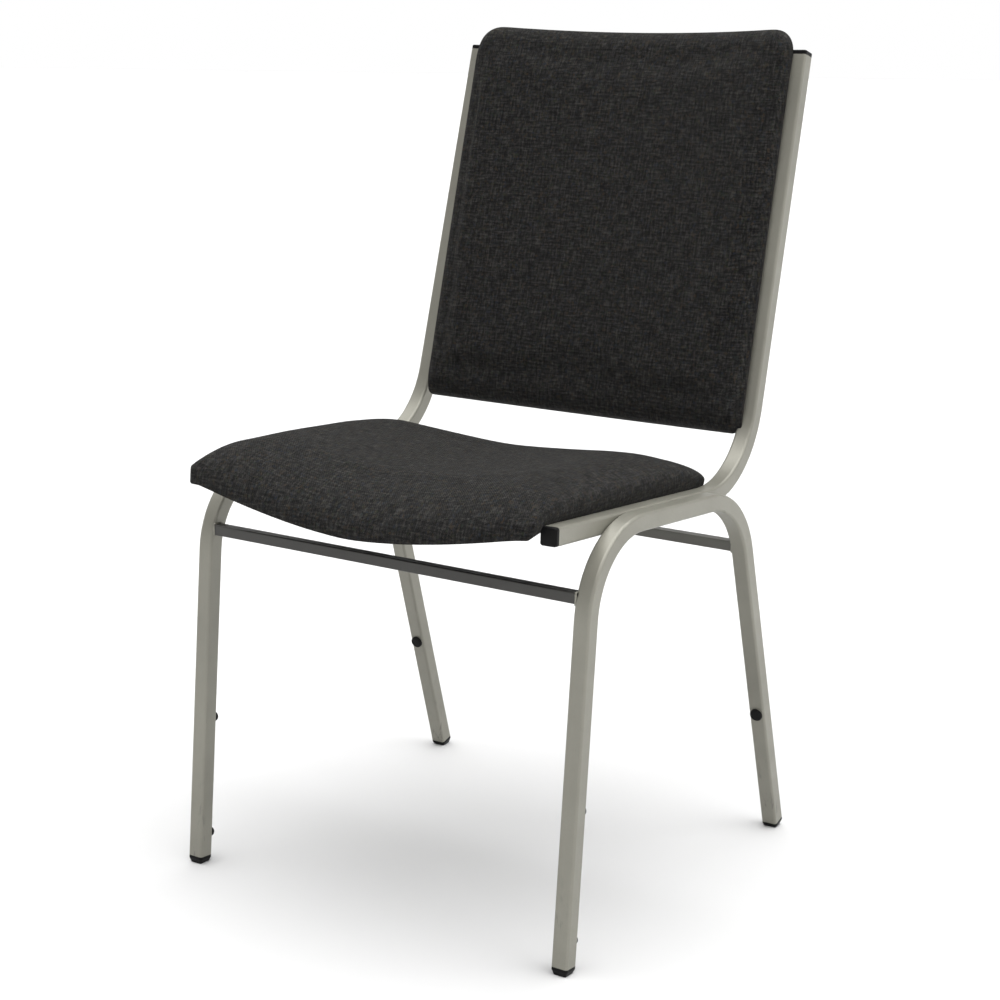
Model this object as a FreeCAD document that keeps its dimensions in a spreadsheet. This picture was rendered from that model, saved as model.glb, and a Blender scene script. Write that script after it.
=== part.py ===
import FreeCAD, Part
import math
import os
import Sketcher

# Stacking chair: a welded frame of 19 mm square tube with an upholstered seat and back.
# Frame: +X is the sitter's left, -Y is the front, +Z is up; the origin is on the floor under the middle.

V = FreeCAD.Vector
doc = FreeCAD.newDocument("StackingChair")
dims = doc.addObject("Spreadsheet::Sheet", "Dims")

driving = [
    ("tubeSize", 19), ("tubeWall", 1.5), ("tubeCorner", 3), ("weldGap", 0.25),
    ("frameHalfWidth", 243.7), ("footGap", 8),
    ("rearFootY", 230.25), ("rearLegLean", 17.23), ("rearLegRun", 443.9), ("rearBendRadius", 102),
    ("topRun", 310.1), ("frontLegRun", 444.5), ("frontBendRadius", 90), ("frontLegLean", 4.54),
    ("railSlope", 3.55), ("railFrontY", -257.15), ("railFrontZ", 453.9), ("railRun", 402.6),
    ("uprightTurn", 79), ("uprightRun", 490.3), ("uprightBendRadius", 112), ("toeIn", 0.87),
    ("barSize", 12), ("barWall", 1.2), ("barCorner", 1.5),
    ("frontBarY", -218.45), ("frontBarZ", 385.5), ("rearBarY", 115.65), ("rearBarZ", 369.2),
    ("capHead", 5), ("plugLength", 14), ("plugClearance", 0.1),
    ("glideCollar", 3), ("glideTaper", 24),
    ("rearBumperRadius", 7.4), ("rearBumperStand", 3.6), ("bumperStem", 2.5), ("bumperRound", 1.8),
    ("frontBumperRadius", 5.5), ("frontBumperStand", 8),
    ("rearBumperZ", 158.5), ("frontUpperBumperZ", 167), ("frontLowerBumperZ", 31.5),
    ("seatHalfWidth", 214.5), ("seatFront", -286.4), ("seatFrontBow", 3), ("seatRear", 86),
    ("seatRearBow", 4), ("seatThick", 41), ("seatEdgeLift", 0.6), ("seatDish", 31),
    ("seatDishRear", 15.5), ("seatDishPower", 1.6),
    ("seatLip", 12), ("seatLipLength", 80), ("seatSideHeight", 16), ("seatRoll", 66),
    ("seatFrontRound", 72), ("seatRearRound", 93), ("seatFrontCorner", 4), ("seatRearCorner", 11),
    ("backHalfWidth", 211), ("backTop", 28.6), ("backBottom", -432), ("backThick", 23),
    ("backDish", 28), ("backDishBottom", 14), ("backSideHeight", 8), ("backRoll", 25.5),
    ("backBottomRound", 29), ("backTopRound", 28), ("backBottomCorner", 9), ("backTopCorner", 29),
    ("backStandOff", 0.5), ("edgeShare", 0.35), ("lowEdgeShare", 0.4),
    ("boardThick", 9), ("boardInset", 8), ("skin", 1.3), ("layerGap", 0.3), ("foldWidth", 45),
    ("panelInset", 35), ("panelThick", 3), ("dustThick", 0.8),
    ("lugInnerX", 183), ("lugWidth", 30), ("lugThick", 3), ("lugFlange", 13), ("screwX", 196),
    ("screwRadius", 3), ("screwHeadRadius", 6), ("screwHead", 3.2), ("screwLength", 13), ("boreGap", 0.05),
    ("nutRadius", 3.9), ("nutFlangeRadius", 9), ("nutFlange", 1.2),
    ("seatFrontLugY", -188.95), ("seatRearLugY", 21.05), ("backUpperLug", -70), ("backLowerLug", -360),
    ("stapleLong", 9), ("stapleWide", 1.2), ("stapleThick", 0.5), ("stapleInset", 40), ("staplePitch", 40),
]
for row, (alias, value) in enumerate(driving, start=1):
    dims.set("A%d" % row, alias)
    dims.set("B%d" % row, str(value))
    dims.setAlias("B%d" % row, alias)
doc.recompute()


def size(alias):
    return float(dims.get(alias))


def cell(alias):
    return "<<Dims>>.%s" % alias


parts = []


def keep(item, label):
    """Give a finished sub-part its name and put it on the list of files to write."""
    item.Label = label
    parts.append(item)
    return item


def originPlane(body, role):
    return [item for item in body.Origin.OriginFeatures if item.Role == role][0]


def newSketch(body, name, role):
    sketch = body.newObject("Sketcher::SketchObject", name)
    sketch.AttachmentSupport = [(originPlane(body, role), "")]
    sketch.MapMode = "FlatFace"
    return sketch


def roundedSquare(sketch, width, radius, widthCell, radiusCell):
    """Draw a centred square with round corners; its width and corner radius follow two cells."""
    half = width / 2
    flat = half - radius
    first = sketch.GeometryCount
    corners = [(1, 1), (-1, 1), (-1, -1), (1, -1)]
    for turn, (sx, sy) in enumerate(corners):
        start = math.radians(90 * turn)
        circle = Part.Circle(V(sx * flat, sy * flat, 0), V(0, 0, 1), radius)
        sketch.addGeometry(Part.ArcOfCircle(circle, start, start + math.pi / 2))
        ax, ay = (sx * flat, sy * half) if turn % 2 == 0 else (sx * half, sy * flat)
        nx, ny = corners[(turn + 1) % 4]
        bx, by = (nx * flat, ny * half) if turn % 2 == 0 else (nx * half, ny * flat)
        sketch.addGeometry(Part.LineSegment(V(ax, ay, 0), V(bx, by, 0)))
    for turn in range(4):
        arc = first + 2 * turn
        line = arc + 1
        following = first + (2 * turn + 2) % 8
        sketch.addConstraint(Sketcher.Constraint("Tangent", arc, 2, line, 1))
        sketch.addConstraint(Sketcher.Constraint("Tangent", line, 2, following, 1))
    sketch.addConstraint(Sketcher.Constraint("Horizontal", first + 1))
    sketch.addConstraint(Sketcher.Constraint("Equal", first, first + 2))
    sketch.addConstraint(Sketcher.Constraint("Equal", first, first + 4))
    sketch.addConstraint(Sketcher.Constraint("Equal", first, first + 6))
    sketch.addConstraint(Sketcher.Constraint("Symmetric", first, 3, first + 4, 3, -1, 1))
    radial = sketch.addConstraint(Sketcher.Constraint("Radius", first, radius))
    across = sketch.addConstraint(Sketcher.Constraint("DistanceX", first + 4, 3, first, 3, 2 * flat))
    upward = sketch.addConstraint(Sketcher.Constraint("DistanceY", first + 4, 3, first, 3, 2 * flat))
    sketch.setExpression("Constraints[%d]" % radial, radiusCell)
    sketch.setExpression("Constraints[%d]" % across, "%s - 2 * (%s)" % (widthCell, radiusCell))
    sketch.setExpression("Constraints[%d]" % upward, "%s - 2 * (%s)" % (widthCell, radiusCell))


def tubeSection(sketch):
    roundedSquare(sketch, size("tubeSize"), size("tubeCorner"), cell("tubeSize"), cell("tubeCorner"))
    inner = "(%s - 2 * %s)" % (cell("tubeSize"), cell("tubeWall"))
    innerCorner = "(%s - %s)" % (cell("tubeCorner"), cell("tubeWall"))
    roundedSquare(sketch, size("tubeSize") - 2 * size("tubeWall"), size("tubeCorner") - size("tubeWall"),
                  inner, innerCorner)


def bentTube(name, runs, turns, radii):
    """Bend a square tube: it starts at the body's origin along +Y, and each bend turns it towards +Z.

    runs are cell names of the corner-to-corner lengths, turns are expressions in degrees with their values.
    """
    body = doc.addObject("PartDesign::Body", name)
    section = newSketch(body, name + "Section", "XZ_Plane")
    tubeSection(section)
    path = newSketch(body, name + "Path", "YZ_Plane")
    setbacks = [size(radius) * math.tan(math.radians(value) / 2)
                for (_, value), radius in zip(turns, radii)]
    setbackText = ["%s * tan((%s) / 2)" % (cell(radius), text) for (text, _), radius in zip(turns, radii)]
    heading = 0.0
    point = V(0, 0, 0)
    lines = []
    arcs = []
    for index, run in enumerate(runs):
        before = setbacks[index - 1] if index else 0.0
        after = setbacks[index] if index < len(turns) else 0.0
        step = V(math.cos(heading), math.sin(heading), 0)
        end = point + step * (size(run) - before - after)
        lines.append(path.addGeometry(Part.LineSegment(point, end)))
        point = end
        if index < len(turns):
            radius = size(radii[index])
            sweep = math.radians(turns[index][1])
            centre = point + V(-step.y, step.x, 0) * radius
            circle = Part.Circle(centre, V(0, 0, 1), radius)
            opening = heading - math.pi / 2
            arcs.append(path.addGeometry(Part.ArcOfCircle(circle, opening, opening + sweep)))
            heading += sweep
            point = centre + V(math.cos(opening + sweep), math.sin(opening + sweep), 0) * radius
    path.addConstraint(Sketcher.Constraint("Coincident", lines[0], 1, -1, 1))
    path.addConstraint(Sketcher.Constraint("Horizontal", lines[0]))
    for index, arc in enumerate(arcs):
        path.addConstraint(Sketcher.Constraint("Tangent", lines[index], 2, arc, 1))
        path.addConstraint(Sketcher.Constraint("Tangent", arc, 2, lines[index + 1], 1))
        bend = path.addConstraint(Sketcher.Constraint("Radius", arc, size(radii[index])))
        path.setExpression("Constraints[%d]" % bend, cell(radii[index]))
        turned = sum(value for _, value in turns[:index + 1])
        turnedText = " + ".join("(%s)" % text for text, _ in turns[:index + 1])
        angle = path.addConstraint(Sketcher.Constraint("Angle", lines[index + 1], math.radians(turned)))
        path.setExpression("Constraints[%d]" % angle, "(%s) * 1 deg" % turnedText)
    for index, run in enumerate(runs):
        before = setbacks[index - 1] if index else 0.0
        after = setbacks[index] if index < len(turns) else 0.0
        text = cell(run)
        if index:
            text += " - " + setbackText[index - 1]
        if index < len(turns):
            text += " - " + setbackText[index]
        length = size(run) - before - after
        straight = path.addConstraint(Sketcher.Constraint("Distance", lines[index], length))
        path.setExpression("Constraints[%d]" % straight, text)
    doc.recompute()
    pipe = body.newObject("PartDesign::AdditivePipe", name + "Pipe")
    pipe.Profile = section
    pipe.Spine = path
    pipe.Transition = "Transformed"
    doc.recompute()
    return body


def turnedPlacement(position, *turns):
    """Place at position after rotating about each (axis, degrees) in order, last one first."""
    rotation = FreeCAD.Rotation()
    for axis, degrees in turns:
        rotation = rotation.multiply(FreeCAD.Rotation(axis, degrees))
    return FreeCAD.Placement(position, rotation)


sides = [("left", 1), ("right", -1)]
railHalfWidth = size("frameHalfWidth") - size("tubeSize") - size("weldGap")

# Slopes of the bent parts, measured in the side view
rearLegHeading = 90 + size("rearLegLean")
topHeading = 180 - size("railSlope")
rearTurn = topHeading - rearLegHeading
frontTurn = 270 - size("frontLegLean") - topHeading
rearTurnText = "90 - %s - %s" % (cell("railSlope"), cell("rearLegLean"))
frontTurnText = "90 - %s + %s" % (cell("frontLegLean"), cell("railSlope"))
rearFootLift = V(0, size("rearFootY") - size("footGap") * math.tan(math.radians(size("rearLegLean"))),
                 size("footGap"))


def legPoint(heading, foot, alongLeg):
    """Centre of a leg, alongLeg up from its tube end."""
    return foot + V(0, math.cos(heading), math.sin(heading)) * alongLeg


frontLegAxis = math.radians(90 - size("frontLegLean"))
rearLegAxis = math.radians(rearLegHeading)
rearCorner = legPoint(rearLegAxis, rearFootLift, size("rearLegRun"))
topAxis = math.radians(topHeading)
frontCorner = rearCorner + V(0, math.cos(topAxis), math.sin(topAxis)) * size("topRun")
frontFootLift = frontCorner - V(0, math.cos(frontLegAxis), math.sin(frontLegAxis)) * size("frontLegRun")


def bumperPlaces(side):
    """Name, centre on the leg's face, outward direction, radius and stand of each bumper on one side."""
    x = side * size("frameHalfWidth")
    half = size("tubeSize") / 2
    rearOut = V(0, -math.sin(rearLegAxis), math.cos(rearLegAxis))
    frontOut = V(0, math.sin(frontLegAxis), -math.cos(frontLegAxis))
    places = []
    for end, foot, axis, out, names in [("rear", rearFootLift, rearLegAxis, rearOut, ["rear"]),
                                        ("front", frontFootLift, frontLegAxis, frontOut,
                                         ["frontUpper", "frontLower"])]:
        for name in names:
            centre = legPoint(axis, foot, (size(name + "BumperZ") - foot.z) / math.sin(axis))
            label = name.replace("Upper", "_upper").replace("Lower", "_lower") + "_bumper"
            centre = V(x, centre.y, centre.z) + out * half
            places.append((label, centre, out, end + "BumperRadius", end + "BumperStand"))
    return places


# Leg frames: each is one tube bent into an upside-down U, with holes for the bumper stems
for sideName, side in sides:
    body = bentTube("LegTube_" + sideName, ["rearLegRun", "topRun", "frontLegRun"],
                    [(rearTurnText, rearTurn), (frontTurnText, frontTurn)],
                    ["rearBendRadius", "frontBendRadius"])
    body.Placement = turnedPlacement(V(side * size("frameHalfWidth"), rearFootLift.y, rearFootLift.z),
                                     (V(1, 0, 0), rearLegHeading))
    holes = []
    for name, centre, out, _, _ in bumperPlaces(side):
        hole = doc.addObject("Part::Cylinder", "Hole_%s_%s" % (name, sideName))
        hole.setExpression("Radius", cell("bumperStem"))
        hole.setExpression("Height", "2 * " + cell("tubeWall"))
        start = centre - out * 2 * size("tubeWall")
        hole.Placement = FreeCAD.Placement(start, FreeCAD.Rotation(V(0, 0, 1), out))
        holes.append(hole)
    drill = doc.addObject("Part::MultiFuse", "Drill_" + sideName)
    drill.Shapes = holes
    frame = doc.addObject("Part::Cut", "LegFrame_" + sideName)
    frame.Base = body
    frame.Tool = drill
    keep(frame, "leg_frame_" + sideName)

# Seat and back tubes: the seat rail runs back, then turns up into the upright
railStart = V(0, size("railFrontY"), size("railFrontZ"))
for sideName, side in sides:
    body = bentTube("SideTube_" + sideName, ["railRun", "uprightRun"],
                    [(cell("uprightTurn"), size("uprightTurn"))], ["uprightBendRadius"])
    body.Placement = turnedPlacement(railStart + V(side * railHalfWidth, 0, 0),
                                     (V(1, 0, 0), -size("railSlope")),
                                     (V(0, 1, 0), -side * size("toeIn")))
    keep(body, "seat_back_tube_" + sideName)

# Crossbars between the inner faces of the legs
barLength = "2 * (%s - %s / 2)" % (cell("frameHalfWidth"), cell("tubeSize"))
for name, label, yCell, zCell in [("FrontBar", "front_crossbar", "frontBarY", "frontBarZ"),
                                  ("RearBar", "rear_crossbar", "rearBarY", "rearBarZ")]:
    body = doc.addObject("PartDesign::Body", name)
    section = newSketch(body, name + "Section", "YZ_Plane")
    roundedSquare(section, size("barSize"), size("barCorner"), cell("barSize"), cell("barCorner"))
    roundedSquare(section, size("barSize") - 2 * size("barWall"), size("barCorner") / 2,
                  "(%s - 2 * %s)" % (cell("barSize"), cell("barWall")), "(%s / 2)" % cell("barCorner"))
    pad = body.newObject("PartDesign::Pad", name + "Pad")
    pad.Profile = section
    pad.setExpression("Length", barLength)
    pad.Midplane = True
    body.setExpression(".Placement.Base.y", cell(yCell))
    body.setExpression(".Placement.Base.z", cell(zCell))
    keep(body, label)


def plugBody(name, headBuilder):
    """A push-in plastic plug along the local +Z, with its head below the origin."""
    body = doc.addObject("PartDesign::Body", name)
    stem = newSketch(body, name + "Stem", "XY_Plane")
    inner = size("tubeSize") - 2 * size("tubeWall") - size("plugClearance")
    innerCorner = size("tubeCorner") - size("tubeWall")
    roundedSquare(stem, inner, innerCorner,
                  "(%s - 2 * %s - %s)" % (cell("tubeSize"), cell("tubeWall"), cell("plugClearance")),
                  "(%s - %s)" % (cell("tubeCorner"), cell("tubeWall")))
    plug = body.newObject("PartDesign::Pad", name + "Plug")
    plug.Profile = stem
    plug.setExpression("Length", cell("plugLength"))
    headBuilder(body, name)
    return body


def capHead(body, name):
    sketch = newSketch(body, name + "Head", "XY_Plane")
    roundedSquare(sketch, size("tubeSize"), size("tubeCorner"), cell("tubeSize"), cell("tubeCorner"))
    head = body.newObject("PartDesign::Pad", name + "HeadPad")
    head.Profile = sketch
    head.Reversed = True
    head.setExpression("Length", cell("capHead"))
    doc.recompute()
    faces = ["Face%d" % (index + 1) for index, face in enumerate(head.Shape.Faces)
             if abs(face.CenterOfMass.z + size("capHead")) < 0.01]
    rim = body.newObject("PartDesign::Fillet", name + "Rim")
    rim.Base = (head, faces)
    rim.setExpression("Radius", cell("capHead") + " / 3")


def glideHead(body, name):
    collar = newSketch(body, name + "Collar", "XY_Plane")
    roundedSquare(collar, size("tubeSize"), size("tubeCorner"), cell("tubeSize"), cell("tubeCorner"))
    upper = body.newObject("PartDesign::Pad", name + "CollarPad")
    upper.Profile = collar
    upper.Reversed = True
    upper.setExpression("Length", cell("glideCollar"))
    doc.recompute()
    foot = newSketch(body, name + "Foot", "XY_Plane")
    foot.AttachmentOffset = FreeCAD.Placement(V(0, 0, -size("glideCollar")), FreeCAD.Rotation())
    foot.setExpression(".AttachmentOffset.Base.z", "-" + cell("glideCollar"))
    roundedSquare(foot, size("tubeSize"), size("tubeCorner"), cell("tubeSize"), cell("tubeCorner"))
    lower = body.newObject("PartDesign::Pad", name + "FootPad")
    lower.Profile = foot
    lower.Reversed = True
    lower.setExpression("Length", cell("footGap"))
    lower.setExpression("TaperAngle", "-" + cell("glideTaper"))


# Glides under the feet, cut level with the floor
for sideName, side in sides:
    for endName, lift, lean in [("front", frontFootLift, size("frontLegLean")),
                                ("rear", rearFootLift, -size("rearLegLean"))]:
        name = "Glide_%s_%s" % (endName, sideName)
        body = plugBody(name, glideHead)
        legEnd = V(side * size("frameHalfWidth"), lift.y, lift.z)
        body.Placement = turnedPlacement(legEnd, (V(1, 0, 0), -lean))
        floor = doc.addObject("Part::Box", name + "Floor")
        floor.setExpression("Length", "3 * " + cell("tubeSize"))
        floor.setExpression("Width", "3 * " + cell("tubeSize"))
        floor.setExpression("Height", cell("tubeSize"))
        floor.Placement = FreeCAD.Placement(
            V(side * size("frameHalfWidth") - 1.5 * size("tubeSize"), lift.y - 1.5 * size("tubeSize"),
              -size("tubeSize")), FreeCAD.Rotation())
        glide = doc.addObject("Part::Cut", name + "Cut")
        glide.Base = body
        glide.Tool = floor
        keep(glide, "foot_glide_%s_%s" % (endName, sideName))

# End caps of the seat rails and the uprights
for sideName, side in sides:
    lean = FreeCAD.Placement(railStart + V(side * railHalfWidth, 0, 0),
                             turnedPlacement(V(0, 0, 0), (V(1, 0, 0), -size("railSlope")),
                                             (V(0, 1, 0), -side * size("toeIn"))).Rotation)
    rail = plugBody("RailCap_" + sideName, capHead)
    rail.Placement = lean.multiply(turnedPlacement(V(0, 0, 0), (V(1, 0, 0), -90)))
    keep(rail, "rail_cap_" + sideName)
    turn = math.radians(size("uprightTurn"))
    uprightRun = size("uprightRun")
    topEnd = V(0, size("railRun") + uprightRun * math.cos(turn), uprightRun * math.sin(turn))
    upright = plugBody("UprightCap_" + sideName, capHead)
    upright.Placement = lean.multiply(turnedPlacement(topEnd, (V(1, 0, 0), 90 + size("uprightTurn"))))
    keep(upright, "upright_cap_" + sideName)

# Stacking bumpers: a domed button with a stem that presses into the leg
for sideName, side in sides:
    for name, centre, out, radius, stand in bumperPlaces(side):
        stem = doc.addObject("Part::Cylinder", "Stem_%s_%s" % (name, sideName))
        stem.setExpression("Radius", cell("bumperStem"))
        stem.setExpression("Height", cell(stand) + " + 2 * " + cell("tubeWall"))
        stem.Placement = FreeCAD.Placement(V(0, 0, -2 * size("tubeWall")), FreeCAD.Rotation())
        button = doc.addObject("Part::Cylinder", "Button_%s_%s" % (name, sideName))
        button.setExpression("Radius", cell(radius))
        button.setExpression("Height", cell(stand))
        doc.recompute()
        crown = doc.addObject("Part::Fillet", "Crown_%s_%s" % (name, sideName))
        crown.Base = button
        topEdge = [index + 1 for index, edge in enumerate(button.Shape.Edges)
                   if edge.Closed and edge.CenterOfMass.z > size(stand) / 2]
        crown.Edges = [(index, size("bumperRound"), size("bumperRound")) for index in topEdge]
        bumper = doc.addObject("Part::Fuse", "Bumper_%s_%s" % (name, sideName))
        bumper.Base = stem
        bumper.Tool = crown
        bumper.Placement = FreeCAD.Placement(centre, FreeCAD.Rotation(V(0, 0, 1), out))
        keep(bumper, "%s_%s" % (name, sideName))


# Upholstered pads: every layer of a pad is a loft of side profiles set across its width.
# A pad's own frame has x across, y along (seat: to the rear, back: upwards) and z out of the cushion.


class PadForm:
    """The outer form of one pad, worked out from the sheet, with the layers inset from it."""

    def __init__(self, halfWidth, front, rear, bow, rearBow, frontCorner, rearCorner, thick, sideHeight,
                 under, frontRound, rearRound, roll):
        self.halfWidth = halfWidth
        self.front = front
        self.rear = rear
        self.bow = bow
        self.rearBow = rearBow
        self.frontCorner = frontCorner
        self.rearCorner = rearCorner
        self.thick = thick
        self.sideHeight = sideHeight
        self.under = under
        self.frontRound = frontRound
        self.rearRound = rearRound
        self.roll = roll

    def ends(self, x, inset):
        """First and last y of the pad at x, with the corners rounded off."""
        wide = self.halfWidth - inset
        share = min(1.0, abs(x) / wide)
        first = self.front + inset + self.bow * share * share
        last = self.rear - inset - self.rearBow * share * share

        def corner(radius):
            into = abs(x) - (wide - radius)
            if into <= 0:
                return 0.0
            return radius - math.sqrt(max(radius * radius - into * into, 0.0))
        return first + corner(self.frontCorner), last - corner(self.rearCorner)

    def crown(self, x):
        """Thickness of the pad at x, before its front and rear are rounded."""
        into = max(0.0, abs(x) - (self.halfWidth - self.roll)) / self.roll
        rise = math.sqrt(max(0.0, 1 - into * into))
        return self.sideHeight + (self.thick - self.sideHeight) * rise

    def profile(self, x, inset, bottom, top):
        """Closed side profile at x: bottom and top are the layer's heights above the underside.

        top is None where the layer follows the crowned outer surface.
        """
        first, last = self.ends(x, inset)
        steps = 9
        lower = []
        for step in range(steps + 1):
            y = last + (first - last) * step / steps
            lower.append(V(x, y, self.under(x, y) + bottom))
        upper = []
        if top is None:
            height = self.crown(x) - inset - bottom
            edge = min(self.sideHeight * size("edgeShare"), height * size("lowEdgeShare"))
            for angle in (0, 20, 40, 60, 80):
                y = first + self.frontRound * (1 - math.cos(math.radians(angle)))
                upper.append((y, edge + (height - edge) * math.sin(math.radians(angle))))
            for step in range(1, 5):
                y = first + self.frontRound
                y += (last - self.rearRound - y) * step / 5
                upper.append((y, height))
            for angle in (80, 60, 40, 20, 0):
                y = last - self.rearRound * (1 - math.cos(math.radians(angle)))
                upper.append((y, edge + (height - edge) * math.sin(math.radians(angle))))
            crest = [V(x, y, self.under(x, y) + bottom + rise) for y, rise in upper]
        else:
            crest = [V(x, point.y, point.z + top - bottom) for point in reversed(lower)]
        under = Part.BSplineCurve()
        under.interpolate(lower)
        over = Part.BSplineCurve()
        over.interpolate(crest)
        edges = [under.toShape(), Part.makeLine(lower[-1], crest[0]), over.toShape(),
                 Part.makeLine(crest[-1], lower[0])]
        return Part.Wire(edges)

    def layer(self, inset, bottom, top=None):
        """One closed layer: inset from the outline, between two heights above the underside."""
        wide = self.halfWidth - inset
        fractions = [1.0, 0.992, 0.97, 0.93, 0.87, 0.78, 0.6, 0.35, 0.0]
        stations = [-wide * share for share in fractions]
        stations += [wide * share for share in reversed(fractions[:-1])]
        return Part.makeLoft([self.profile(x, inset, bottom, top) for x in stations], True, False)


def seatUnder(x, y):
    """Underside of the seat in the seat's own frame: dished between the rails, with a drop at the front."""
    share = (abs(x) / size("seatHalfWidth")) ** size("seatDishPower")
    along = min(1.0, max(0.0, (y - size("seatFront")) / (size("seatRear") - size("seatFront"))))
    dish = size("seatDish") + (size("seatDishRear") - size("seatDish")) * along
    lip = max(0.0, 1 - (y - size("seatFront")) / size("seatLipLength"))
    return size("seatEdgeLift") - dish * (1 - share) - size("seatLip") * lip * lip


def backUnder(x, y):
    """Rear of the back pad in its own frame: hollowed between the uprights."""
    share = (x / size("backHalfWidth")) ** 2
    along = (y - size("backBottom")) / (size("backTop") - size("backBottom"))
    dish = size("backDishBottom") + (size("backDish") - size("backDishBottom")) * along
    return -dish * (1 - share) + size("backStandOff")


seatForm = PadForm(size("seatHalfWidth"), size("seatFront"), size("seatRear"), size("seatFrontBow"),
                   size("seatRearBow"), size("seatFrontCorner"), size("seatRearCorner"),
                   size("seatThick"), size("seatSideHeight"), seatUnder,
                   size("seatFrontRound"), size("seatRearRound"), size("seatRoll"))
backForm = PadForm(size("backHalfWidth"), size("backBottom"), size("backTop"), 0.0,
                   0.0, size("backBottomCorner"), size("backTopCorner"),
                   size("backThick"), size("backSideHeight"), backUnder,
                   size("backBottomRound"), size("backTopRound"), size("backRoll"))

# The seat's frame lies on the plane of the rail tops; the back's lies on the fronts of the uprights.
slope = math.radians(size("railSlope"))
railTop = railStart + V(0, math.sin(slope), math.cos(slope)) * (size("tubeSize") / 2)
seatPlace = FreeCAD.Placement(V(0, railTop.y, railTop.z), FreeCAD.Rotation(V(1, 0, 0), -size("railSlope")))
seatPlace = seatPlace.multiply(FreeCAD.Placement(V(0, -size("railFrontY"), 0), FreeCAD.Rotation()))
uprightHeading = math.radians(size("uprightTurn") - size("railSlope"))
uprightCorner = railStart + V(0, math.cos(slope), -math.sin(slope)) * size("railRun")
uprightTop = uprightCorner + V(0, math.cos(uprightHeading), math.sin(uprightHeading)) * size("uprightRun")
uprightFace = uprightTop + V(0, -math.sin(uprightHeading), math.cos(uprightHeading)) * (size("tubeSize") / 2)
backPlace = FreeCAD.Placement(uprightFace, FreeCAD.Rotation(V(1, 0, 0), math.degrees(uprightHeading)))


def softPart(label, shape, place):
    item = doc.addObject("Part::Feature", "Soft_" + label)
    item.Shape = shape
    item.Placement = place
    return keep(item, label)


def standOn(form, place, x, y):
    """Placement on a pad's underside at x, y with +Z into the cushion, in the chair's frame."""
    step = 1.0
    slopeX = (form.under(x + step, y) - form.under(x - step, y)) / (2 * step)
    slopeY = (form.under(x, y + step) - form.under(x, y - step)) / (2 * step)
    rotation = FreeCAD.Rotation(V(0, 0, 1), V(-slopeX, -slopeY, 1))
    return place.multiply(FreeCAD.Placement(V(x, y, form.under(x, y)), rotation))


def groupOf(label, shape, places):
    """One node that holds a copy of the same fastener at each place."""
    copies = []
    for place in places:
        copy = shape.copy()
        copy.Placement = place
        copies.append(copy)
    item = doc.addObject("Part::Feature", "Group_" + label)
    item.Shape = Part.makeCompound(copies)
    return keep(item, label)


# Heights of the layers above the underside of a pad
gap = size("layerGap")
boardBottom = size("skin") + gap
boardTop = boardBottom + size("boardThick")

# A pan-head socket screw: its head bears on the lug and its shank runs up into the tee nut
lugBottom = -gap - size("lugThick")
shank = Part.makeCylinder(size("screwRadius"), size("screwLength"), V(0, 0, lugBottom))
headFace = lugBottom - size("screwHead")
panHead = Part.makeCylinder(size("screwHeadRadius"), size("screwHead"), V(0, 0, headFace))
headMiddle = headFace + size("screwHead") / 2
rims = [edge for edge in panHead.Edges if edge.Closed and edge.CenterOfMass.z < headMiddle]
panHead = panHead.makeFillet(size("screwHead") / 3, rims)
keyRadius = size("screwRadius") * 0.75
hexAngles = [math.pi * turn / 3 for turn in range(7)]
hexagon = Part.makePolygon([V(keyRadius * math.cos(angle), keyRadius * math.sin(angle), headFace)
                            for angle in hexAngles])
keyHole = Part.Face(hexagon).extrude(V(0, 0, size("screwHead") * 0.6))
screwShape = shank.fuse(panHead).removeSplitter().cut(keyHole)

# A tee nut: a barrel in the board and a flange on its upper face
barrelHeight = size("boardThick") - 1
nutShape = Part.makeCylinder(size("nutRadius"), barrelHeight, V(0, 0, boardTop - barrelHeight))
nutShape = nutShape.fuse(Part.makeCylinder(size("nutFlangeRadius"), size("nutFlange"), V(0, 0, boardTop)))
nutShape = nutShape.removeSplitter()
nutShape = nutShape.cut(Part.makeCylinder(size("screwRadius") + size("boreGap"), 4 * size("boardThick")))

# Room for one fixing: a clear bore through the cover and the board, and a pocket for the flange in the foam
fixingBore = Part.makeCylinder(size("nutRadius") + gap, boardTop + 2 * gap, V(0, 0, -1))
flangeRoom = Part.makeCylinder(size("nutFlangeRadius") + gap, 2 * size("nutFlange") + gap,
                               V(0, 0, boardTop - gap))
stapleShape = Part.makeBox(size("stapleLong"), size("stapleWide"), size("stapleThick"),
                           V(-size("stapleLong") / 2, -size("stapleWide") / 2, -size("stapleThick")))


def stapleSpots(form, avoid):
    """Places of the staples round a pad's underside, in the pad's frame, with the turn of each one."""
    inset = size("stapleInset")
    across = form.halfWidth - inset
    count = int(2 * across / size("staplePitch"))
    spots = []
    for index in range(count + 1):
        x = -across + 2 * across * index / count
        first, last = form.ends(x, inset)
        spots.append((x, first, 0))
        spots.append((x, last, 0))
    first, last = form.ends(across, inset)
    count = int((last - first) / size("staplePitch"))
    for index in range(1, count):
        y = first + (last - first) * index / count
        if min(abs(y - other) for other in avoid) > size("lugWidth") / 2:
            spots.append((across, y, 90))
            spots.append((-across, y, 90))
    return spots


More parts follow.
